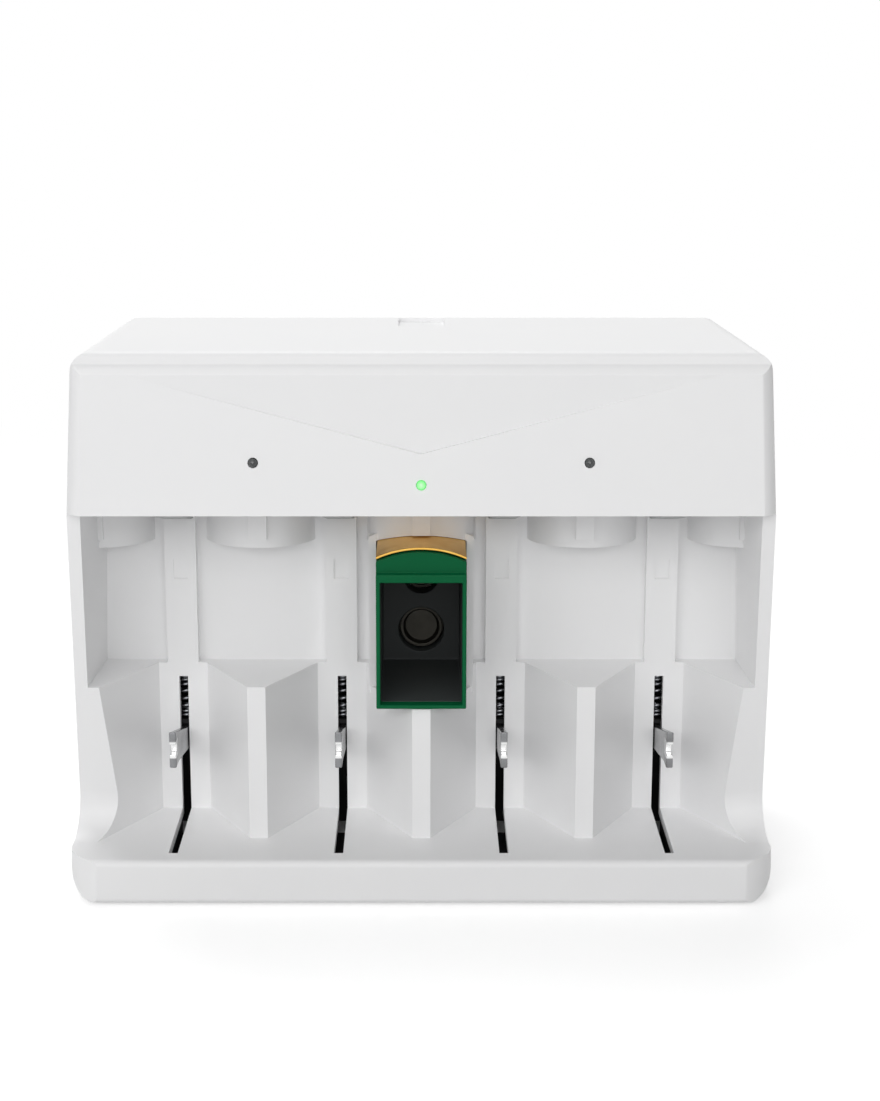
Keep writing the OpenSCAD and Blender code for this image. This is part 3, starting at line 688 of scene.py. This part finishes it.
@dataclass(frozen=True)
class SoftEdges:
    """Small rounds on the edges of a moulding or a stamping."""

    width: float
    angle: float = 35.0
    segments: int = 2
    merge: float = 0.002 * MM
    flat: float = 0.2
    broad: float = 2 * MM
    crease: float = 0.3
    area_weight: int = 90

    def copy_of(self, node: bpy.types.Object, name: str) -> bpy.types.Object:
        """Copies a CAD node as one welded mesh, with flat regions joined and its edges rounded.

        Args:
            node: The CAD node's object.
            name: Name of the copy.

        Returns:
            The copy, linked to the scene.
        """
        mesh = node.data.copy()
        mesh.name = name
        work = bmesh.new()
        work.from_mesh(mesh)
        bmesh.ops.remove_doubles(work, verts=work.verts, dist=self.merge)
        bmesh.ops.dissolve_degenerate(work, edges=work.edges, dist=self.merge)
        bmesh.ops.dissolve_limit(
            work, angle_limit=math.radians(self.flat), verts=work.verts, edges=work.edges
        )
        self.mark_creases(work)
        work.to_mesh(mesh)
        work.free()
        piece = bpy.data.objects.new(name, mesh)
        bpy.context.scene.collection.objects.link(piece)
        bevel = piece.modifiers.new("soft_edges", "BEVEL")
        bevel.width = self.width
        bevel.segments = self.segments
        bevel.limit_method = "ANGLE"
        bevel.angle_limit = math.radians(self.angle)
        bevel.use_clamp_overlap = True
        even = piece.modifiers.new("flat_faces", "WEIGHTED_NORMAL")
        even.keep_sharp = True
        even.weight = self.area_weight
        return piece

    def mark_creases(self, work: bmesh.types.BMesh) -> None:
        """Keeps the shallow folds between two broad faces sharp and shades all else smooth.

        Args:
            work: The mesh in hand.
        """
        for face in work.faces:
            face.smooth = True
        for edge in work.edges:
            if len(edge.link_faces) != 2:
                continue
            widths = [2 * face.calc_area() / face.calc_perimeter() for face in edge.link_faces]
            bent = edge.calc_face_angle(0.0) > math.radians(self.crease)
            edge.smooth = not (bent and min(widths) > self.broad)


@dataclass
class Dresser:
    """Puts pieces in for CAD nodes and finishes on both."""

    nodes: dict[str, bpy.types.Object]
    finishes: Finishes

    def paint(self, node: str, material: bpy.types.Material) -> None:
        """Gives a CAD node that stays its finish."""
        put_on(self.nodes[node], material)
        LOG.info("finish %s on %s", material.name, node)

    def soften(self, node: str, body: str, slot: Slot, edges: SoftEdges) -> bpy.types.Object:
        """Puts in a copy of a node with rounded edges.

        Args:
            node: The CAD node.
            body: The body it rides on.
            slot: The record's slot of its finish.
            edges: Size of the rounds.

        Returns:
            The copy.
        """
        piece = edges.copy_of(self.nodes[node], node + "_soft")
        put_on(piece, self.finishes.of(slot))
        self.stand_in(piece, body, node)
        return piece

    def stand_in(self, piece: bpy.types.Object, body: str, node: str) -> None:
        """Lets a piece ride on a body in place of a node.

        Args:
            piece: The new piece.
            body: The body it rides on.
            node: The CAD node that it stands for.
        """
        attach(piece, body)
        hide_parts(node)
        LOG.info("piece %s stands for %s", piece.name, node)


@dataclass
class Housing:
    """Front shell, rear cover, feet and board screws."""

    edge: float = 0.45 * MM
    foot_edge: float = 0.4 * MM

    def build(self, dresser: Dresser) -> None:
        """Softens the mouldings and dresses feet and board screws."""
        body = Body.HOUSING.value
        dresser.soften("front_shell", body, Slot.WHITE_PLASTIC, SoftEdges(self.edge))
        dresser.soften("rear_cover", body, Slot.WHITE_PLASTIC, SoftEdges(self.edge))
        dresser.soften("rubber_feet", body, Slot.RUBBER, SoftEdges(self.foot_edge))
        dresser.paint("board_screws", dresser.finishes.of(Slot.STEEL))


@dataclass
class CoverScrews:
    """Four pan-head screws with a cross recess, seen down their holes in the rear cover."""

    head_radius: float = 3.0 * MM
    head_height: float = 2.4 * MM
    head_round: float = 0.6 * MM
    crown: float = 0.35 * MM
    shank_radius: float = 1.2 * MM
    point: float = 1.5 * MM
    point_share: float = 0.1
    arm_half: float = 0.5 * MM
    arm_reach: float = 1.8 * MM
    arm_edge: float = 0.25 * MM
    recess: float = 1.3 * MM
    columns: int = 112
    rings: int = 30
    first_ring: float = 0.02
    rim_steps: int = 5

    def build(self, dresser: Dresser) -> None:
        """Puts one piece with all four screws in for their node."""
        low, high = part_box("cover_screws")
        spots = [
            (side * (high.x - self.head_radius), height)
            for side in (-1, 1)
            for height in (low.z + self.head_radius, high.z - self.head_radius)
        ]
        grids = [self.screw(x, z, low.y, high.y) for x, z in spots]
        piece = grid_mesh("cover_screw_set", grids, wrap=True, caps=True)
        put_on(piece, dresser.finishes.of(Slot.STEEL))
        dresser.stand_in(piece, Body.HOUSING.value, "cover_screws")

    def screw(self, x: float, z: float, tip: float, top: float) -> np.ndarray:
        """Turns the screw's profile about its axis along Y.

        Rings run from the middle of the head outwards, over its rounded rim, down its side and
        along the shank to the point. On the head, each point sinks by the recess depth where the
        smaller of its two distances across lies within an arm's half width and the larger one
        within the arm's reach.

        Args:
            x: Place of the axis across.
            z: Height of the axis.
            tip: Depth of the screw's point.
            top: Depth of the head's highest point.

        Returns:
            The grid of points, rings by columns.
        """
        flat = self.head_radius - self.head_round
        spread = np.linspace(self.first_ring, 1.0, self.rings)
        bend = np.linspace(0, np.pi / 2, self.rim_steps + 1)[1:]
        seat = top - self.head_height
        rim = top - self.crown
        shank = self.shank_radius
        radius = np.concatenate([
            flat * spread,
            flat + self.head_round * np.sin(bend),
            [self.head_radius, shank, shank, self.point_share * shank],
        ])
        depth = np.concatenate([
            top - self.crown * spread ** 2,
            rim - self.head_round * (1 - np.cos(bend)),
            [seat, seat, tip + self.point, tip],
        ])
        angle = np.linspace(0, 2 * np.pi, self.columns, endpoint=False)
        across = radius[:, None] * np.cos(angle)
        upward = radius[:, None] * np.sin(angle)
        inner = np.minimum(np.abs(across), np.abs(upward))
        outer = np.maximum(np.abs(across), np.abs(upward))
        arms = np.clip((self.arm_half - inner) / self.arm_edge + 0.5, 0, 1)
        ends = np.clip((self.arm_reach - outer) / self.arm_edge + 0.5, 0, 1)
        on_head = (np.arange(len(radius)) < self.rings)[:, None]
        sunk = self.recess * arms * ends * on_head
        return np.stack([x + across, depth[:, None] - sunk, z + upward], axis=-1)


@dataclass
class ContactSlides:
    """Four sprung slides: carriages, blades, guides, plus contacts and springs."""

    count: int = 4
    blade_edge: float = 0.25 * MM
    strip_edge: float = 0.125 * MM
    wire: float = 0.7 * MM
    turns: int = 8
    closing: float = 0.5
    turn_steps: int = 28
    wire_sides: int = 10

    def build(self, dresser: Dresser) -> None:
        """Dresses every slide."""
        body = Body.HOUSING.value
        black = dresser.finishes.of(Slot.BLACK_PLASTIC)
        blade, strip = SoftEdges(self.blade_edge), SoftEdges(self.strip_edge)
        for number in range(1, self.count + 1):
            slider = f"slider_{number}"
            dresser.soften(f"blade_{number}", slider, Slot.PLATED_CONTACT, blade)
            dresser.paint(f"carriage_{number}", black)
            dresser.paint(f"guide_{number}", black)
            dresser.soften(f"plus_contact_{number}", body, Slot.PLATED_CONTACT, strip)
            self.spring(number, slider, dresser)

    def spring(self, number: int, slider: str, dresser: Dresser) -> None:
        """Makes a spring in the gap between housing and slide, where it stays fixed when the slide
        moves.

        The wire's middle line is a helix of constant radius, and a sine of the share along it
        closes up the end turns. A circle at right angles to the line is carried along it.

        Args:
            number: The slide's number.
            slider: The slide's body.
            dresser: Puts the spring in for its CAD node.
        """
        node = f"slider_spring_{number}"
        low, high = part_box(node)
        middle = (low + high) / 2
        radius = (high.x - low.x - self.wire) / 2
        foot = low.z + self.wire / 2
        rise = high.z - low.z - self.wire
        turn = np.linspace(0, self.turns, self.turns * self.turn_steps + 1)
        share = turn / self.turns
        closed = self.closing * np.sin(2 * np.pi * share) / (2 * np.pi)
        height = foot + rise * (share - closed)
        angle = 2 * np.pi * turn
        line = np.stack([
            middle.x + radius * np.cos(angle), middle.y + radius * np.sin(angle), height,
        ], axis=-1)
        outward = np.stack([np.cos(angle), np.sin(angle), np.zeros_like(angle)], axis=-1)
        along = np.gradient(line, axis=0)
        along /= np.linalg.norm(along, axis=1, keepdims=True)
        upward = np.cross(along, outward)
        around = np.linspace(0, 2 * np.pi, self.wire_sides, endpoint=False)
        ring = (
            outward[:, None] * np.cos(around)[None, :, None]
            + upward[:, None] * np.sin(around)[None, :, None]
        )
        points = line[:, None] + ring * (self.wire / 2)
        piece = grid_mesh(f"spring_{number}", [points], wrap=True, caps=True)
        put_on(piece, dresser.finishes.of(Slot.STEEL))
        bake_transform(piece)
        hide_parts(node)
        LOG.info("piece %s stretches between housing and %s", piece.name, slider)


@dataclass
class NineVoltDrawer:
    """Green holder with its snaps, and the brass leaf above it."""

    edge: float = 0.3 * MM
    leaf_edge: float = 0.12 * MM
    lining: MouldedPlastic = MouldedPlastic(
        "holder_lining", linear(72, 76, 76), linear(62, 65, 66), roughness=0.5, shine=0.25
    )
    # painted shade: the snaps are coloured dark grey rather than brass, standing in for the shade
    # deep in the holder; tarnish patches lie over it
    snap: RolledMetal = RolledMetal("snap_painted_shade", linear(84, 82, 76), linear(58, 57, 54), 0.50)

    def build(self, dresser: Dresser) -> None:
        """Softens the holder and dresses its metal."""
        drawer = Body.DRAWER.value
        moulded, stamped = SoftEdges(self.edge), SoftEdges(self.leaf_edge)
        dresser.soften("nine_volt_sleeve", drawer, Slot.GREEN_PLASTIC, moulded)
        carrier = dresser.soften("snap_carrier", drawer, Slot.BLACK_PLASTIC, moulded)
        put_on(carrier, self.lining.make())
        # dark grey of painted shade for both snaps
        snap_shade = self.snap.make()
        for node in ("snap_plus", "snap_minus"):
            put_on(dresser.soften(node, drawer, Slot.BRASS, stamped), snap_shade)
        dresser.soften("nine_volt_leaf", Body.HOUSING.value, Slot.BRASS, stamped)


@dataclass
class Indicators:
    """Two dark bay lights and the lit one of the holder."""

    dark: Colour = linear(52, 58, 58)
    dark_core: Colour = linear(30, 34, 36)
    lit: Colour = linear(20, 150, 60)
    lit_core: Colour = linear(150, 245, 150)
    lit_glow: float = 0.9
    lens_edge: float = 0.1 * MM
    lens_angle: float = 50.0

    def build(self, dresser: Dresser) -> None:
        """Gives each light its lens."""
        for node in ("led_left", "led_right"):
            self.lens(dresser, node, Slot.DARK_LENS, self.dark, self.dark_core, 0.0)
        self.lens(dresser, "led_nine_volt", Slot.GREEN_LENS, self.lit, self.lit_core, self.lit_glow)

    def lens(
        self, dresser: Dresser, node: str, slot: Slot, rim: Colour, core: Colour, glow: float
    ) -> None:
        """Puts in one smooth lens.

        Args:
            dresser: Puts the lens in for its node.
            node: The light's CAD node.
            slot: The record's slot of its finish.
            rim: Colour at the rim.
            core: Colour in the middle.
            glow: Emission strength.
        """
        low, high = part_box(node)
        middle = (low + high) / 2
        finish = LampLens(node + "_lens", rim, core, glow, middle, (high.z - low.z) / 2)
        dresser.finishes.made[slot] = finish.make()
        edges = SoftEdges(self.lens_edge, self.lens_angle)
        dresser.soften(node, Body.HOUSING.value, slot, edges)


@dataclass
class Electronics:
    """Board, its parts, the transformer and the mains inlet."""

    edge: float = 0.3 * MM

    def build(self, dresser: Dresser) -> None:
        """Dresses what lies inside and the inlet at the back."""
        plain = {
            "main_board": Slot.BOARD,
            "control_chip": Slot.BLACK_PLASTIC,
            "bulk_capacitor": Slot.CAPACITOR_SLEEVE,
            "output_capacitors": Slot.CAPACITOR_SLEEVE,
            "fuse": Slot.STEEL,
            "transformer_core": Slot.CORE_STEEL,
            "transformer_coil": Slot.WINDING,
        }
        for node, slot in plain.items():
            dresser.paint(node, dresser.finishes.of(slot))
        body = Body.HOUSING.value
        dresser.soften("mains_inlet", body, Slot.BLACK_PLASTIC, SoftEdges(self.edge))
        dresser.soften("inlet_pins", body, Slot.STEEL, SoftEdges(self.edge))


@dataclass
class PhotoCamera:
    """Camera at the photograph's place."""

    place: Vector = field(default_factory=lambda: Vector((0.0, -0.454, 0.180)))
    tilt: float = 13.5
    lens: float = 67.9
    shift: float = 0.017
    nearest: float = 0.01

    def build(self) -> None:
        """Sets the scene's camera."""
        data = bpy.data.cameras.new("photo_camera")
        data.lens = self.lens
        data.shift_x = self.shift
        data.clip_start = self.nearest
        camera = bpy.data.objects.new("photo_camera", data)
        camera.location = self.place
        camera.rotation_euler = (math.radians(90 - self.tilt), 0, 0)
        bpy.context.scene.collection.objects.link(camera)
        bpy.context.scene.camera = camera


@dataclass(frozen=True)
class SoftLamp:
    """Flat soft lamp that faces the charger.

    Args:
        name: The lamp's name.
        place: Where it stands, in metres.
        power: Power in watts.
        width: Length of its level sides in metres.
        height: Length of its other sides in metres.
        aim: The point that it faces.
    """

    name: str
    place: Place
    power: float
    width: float
    height: float
    aim: Place = (0.0, 0.0, 0.05)

    def build(self) -> None:
        """Adds the lamp."""
        data = bpy.data.lights.new(self.name, "AREA")
        data.shape = "RECTANGLE"
        data.energy = self.power
        data.size = self.width
        data.size_y = self.height
        lamp = bpy.data.objects.new(self.name, data)
        lamp.location = self.place
        towards = Vector(self.aim) - Vector(self.place)
        lamp.rotation_euler = towards.to_track_quat("-Z", "Y").to_euler()
        bpy.context.scene.collection.objects.link(lamp)


@dataclass
class Studio:
    """White floor, white surroundings and soft lamps."""

    floor_half: float = 12.0
    floor_colour: Colour = (0.86, 0.86, 0.86)
    floor_near: float = 0.20
    floor_far: float = 0.60
    floor_white: float = 0.46
    world_strength: float = 0.17
    lamps: tuple[SoftLamp, ...] = (
        SoftLamp("key", (-0.20, -0.95, 0.50), 5.4, 1.60, 0.40),
        SoftLamp("back_top", (-0.13, 0.40, 0.88), 4.2, 0.70, 0.50),
        SoftLamp("front_top", (-0.15, -0.60, 0.90), 1.6, 0.80, 0.60),
        SoftLamp("side", (-0.90, -0.30, 0.25), 0.4, 0.50, 0.40),
    )

    def build(self) -> None:
        """Makes floor, world and lamps."""
        self.floor()
        self.world()
        for lamp in self.lamps:
            lamp.build()

    @staticmethod
    def seen(graph: Graph) -> Socket:
        """One for rays from the camera or that metal or glass sends on, otherwise nought."""
        rays = [
            graph.node("LightPath", output=name)
            for name in ("Is Camera Ray", "Is Glossy Ray", "Is Transmission Ray")
        ]
        total = rays[0] + rays[1] + rays[2]
        return graph.node("Clamp", inputs={"Value": total})

    def floor(self) -> None:
        """Makes a plane that keeps the object's shadow and fades to plain white around it."""
        corners = self.floor_half * np.array([[[-1, -1, 0], [1, -1, 0]], [[-1, 1, 0], [1, 1, 0]]])
        floor = grid_mesh("floor", [corners.astype(float)], wrap=False, caps=False)
        material, graph = new_material("floor_paper")
        diffuse = graph.node("BsdfDiffuse", inputs={"Color": (*self.floor_colour, 1.0)})
        glow, plain = (
            graph.node("Emission", inputs={"Color": (*WHITE, 1), "Strength": strength})
            for strength in (self.floor_white, 1.0)
        )
        near = graph.node("AddShader", inputs={0: diffuse, 1: glow})
        reach = graph.node(
            "VectorMath", {"operation": "LENGTH"}, {0: graph.place()}, output="Value"
        )
        close = graph.fade(reach, self.floor_near, self.floor_far, smooth=True)
        faded = graph.node("MixShader", inputs={0: close, 1: plain, 2: near})
        shader = graph.node("MixShader", inputs={0: self.seen(graph), 1: diffuse, 2: faded})
        graph.surface(shader)
        put_on(floor, material)

    def world(self) -> None:
        """White to the camera and in reflections, soft light to the object."""
        world = bpy.data.worlds.new("studio")
        world.use_nodes = True
        graph = Graph(world.node_tree)
        seen = self.seen(graph)
        strength = self.world_strength + seen * (1 - self.world_strength)
        light = graph.node("Background", inputs={"Color": (*WHITE, 1), "Strength": strength})
        graph.node("OutputWorld", inputs={"Surface": light})
        bpy.context.scene.world = world


def clear_scene() -> None:
    """Removes what a new file starts with."""
    for thing in list(bpy.data.objects):
        bpy.data.objects.remove(thing)


def main() -> None:
    """Builds the charger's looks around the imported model."""
    logging.basicConfig(level=logging.INFO, format="%(name)s: %(message)s")
    clear_scene()
    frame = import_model()
    bpy.context.scene.view_settings.view_transform = "Standard"
    PhotoCamera().build()
    Studio().build()
    dresser = Dresser(frame["nodes"], Finishes())
    kinds = (Housing, CoverScrews, ContactSlides, NineVoltDrawer, Indicators, Electronics)
    for kind in kinds:
        kind().build(dresser)


if __name__ == "__main__":
    main()
